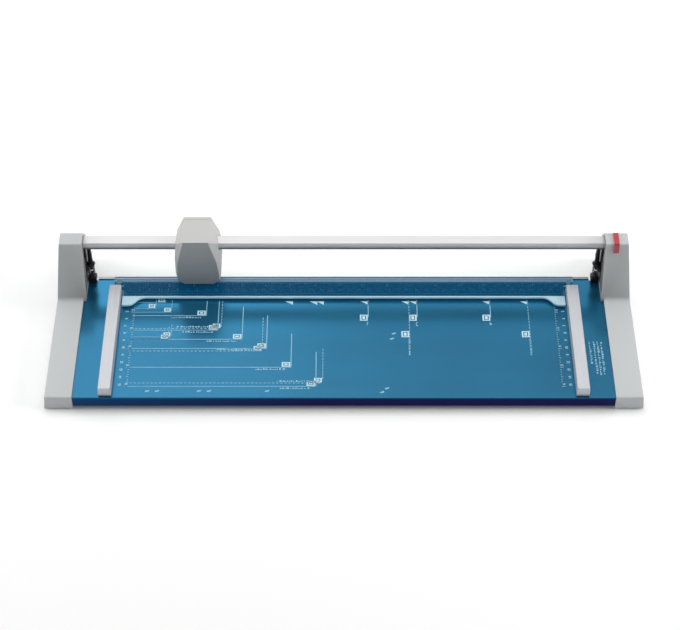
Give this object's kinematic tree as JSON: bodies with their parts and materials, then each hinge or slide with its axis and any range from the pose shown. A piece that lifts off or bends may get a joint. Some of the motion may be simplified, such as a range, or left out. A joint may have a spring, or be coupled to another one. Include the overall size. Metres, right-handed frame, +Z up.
{
  "type": "rotary paper trimmer",
  "caption": "Desk-top rotary paper trimmer: steel cutting table between two end caps, with a sprung rail, a sliding cutting head, a round blade and a clear clamp strip.",
  "frame": {"origin": "on the ground, under the middle of the machine's bounding box", "axes": "+X along the cut, to the user's right; +Y away from the user; +Z up"},
  "size_m": [0.5998, 0.211, 0.0907],
  "materials": {
    "blue_paint": "smooth satin paint",
    "grey_shell": "fine moulded texture",
    "cover_grey": "fine moulded texture",
    "guide_grey": "satin",
    "rail_aluminium": "satin anodised",
    "ground_steel": "ground",
    "dark_steel": "blackened",
    "black_plastic": "moulded",
    "rubber": "matte",
    "clear_plastic": "clear",
    "red_inlay": "smooth"
  },
  "bodies": {
    "base": {"bed_knife": "ground_steel", "knife_backing": "black_plastic", "knife_screw_1": "dark_steel", "knife_screw_2": "dark_steel", "knife_screw_3": "dark_steel", "knife_screw_4": "dark_steel", "left_cap_screw_1": "dark_steel", "left_cap_screw_2": "dark_steel", "left_clamp_spring": "dark_steel", "left_end_cap": "grey_shell", "left_front_foot": "rubber", "left_guide_screw_1": "dark_steel", "left_guide_screw_2": "dark_steel", "left_lift_spring": "dark_steel", "left_rear_foot": "rubber", "left_side_guide": "guide_grey", "left_spring_cup": "black_plastic", "left_spring_seat": "black_plastic", "left_tower_lid": "cover_grey", "red_inlay": "red_inlay", "right_cap_screw_1": "dark_steel", "right_cap_screw_2": "dark_steel", "right_clamp_spring": "dark_steel", "right_end_cap": "grey_shell", "right_front_foot": "rubber", "right_guide_screw_1": "dark_steel", "right_guide_screw_2": "dark_steel", "right_lift_spring": "dark_steel", "right_rear_foot": "rubber", "right_side_guide": "guide_grey", "right_spring_cup": "black_plastic", "right_spring_seat": "black_plastic", "right_tower_lid": "cover_grey", "table_plate": "blue_paint"},
    "press": {"guide_rail": "rail_aluminium", "left_rail_shoe": "black_plastic", "right_rail_shoe": "black_plastic", "left_lift_pin": "dark_steel", "right_lift_pin": "dark_steel"},
    "clamp": {"clamp_strip": "clear_plastic", "left_clamp_pin": "ground_steel", "right_clamp_pin": "ground_steel"},
    "head": {"head_front_cover": "grey_shell", "head_rear_cover": "grey_shell", "left_head_screw": "dark_steel", "right_head_screw": "dark_steel", "left_slide_bush": "black_plastic", "right_slide_bush": "black_plastic", "blade_carrier": "black_plastic", "glide_shoe": "black_plastic", "blade_axle": "ground_steel", "axle_nut": "ground_steel", "blade_guard": "black_plastic", "thrust_spring": "dark_steel"},
    "blade": {"rotary_blade": "ground_steel", "blade_hub": "black_plastic"}
  },
  "joints": [
    {"name": "rail_press", "type": "slide", "parent": "base", "child": "press", "axis": [0, 0, 1], "range_m": [-0.0022, 0], "stiffness_N_per_m": 1500, "springref_m": 0.006, "deforming": ["left_lift_spring", "right_lift_spring"]},
    {"name": "clamp_press", "type": "slide", "parent": "base", "child": "clamp", "axis": [0, 0, 1], "range_m": [-0.0022, 0], "stiffness_N_per_m": 600, "springref_m": 0.004, "deforming": ["left_clamp_spring", "right_clamp_spring"]},
    {"name": "head_slide", "type": "slide", "parent": "press", "child": "head", "axis": [1, 0, 0], "range_m": [-0.0805, 0.3835]},
    {"name": "blade_spin", "type": "hinge", "parent": "head", "child": "blade", "pos_m": [-0.1515, 0.0634, 0.0302], "axis": [0, 1, 0], "continuous": true}
  ],
  "couplings": [
    {"joint": "clamp_press", "follows": "rail_press", "ratio": 1},
    {"joint": "blade_spin", "follows": "head_slide", "rad_per_m": 71.429}
  ]
}
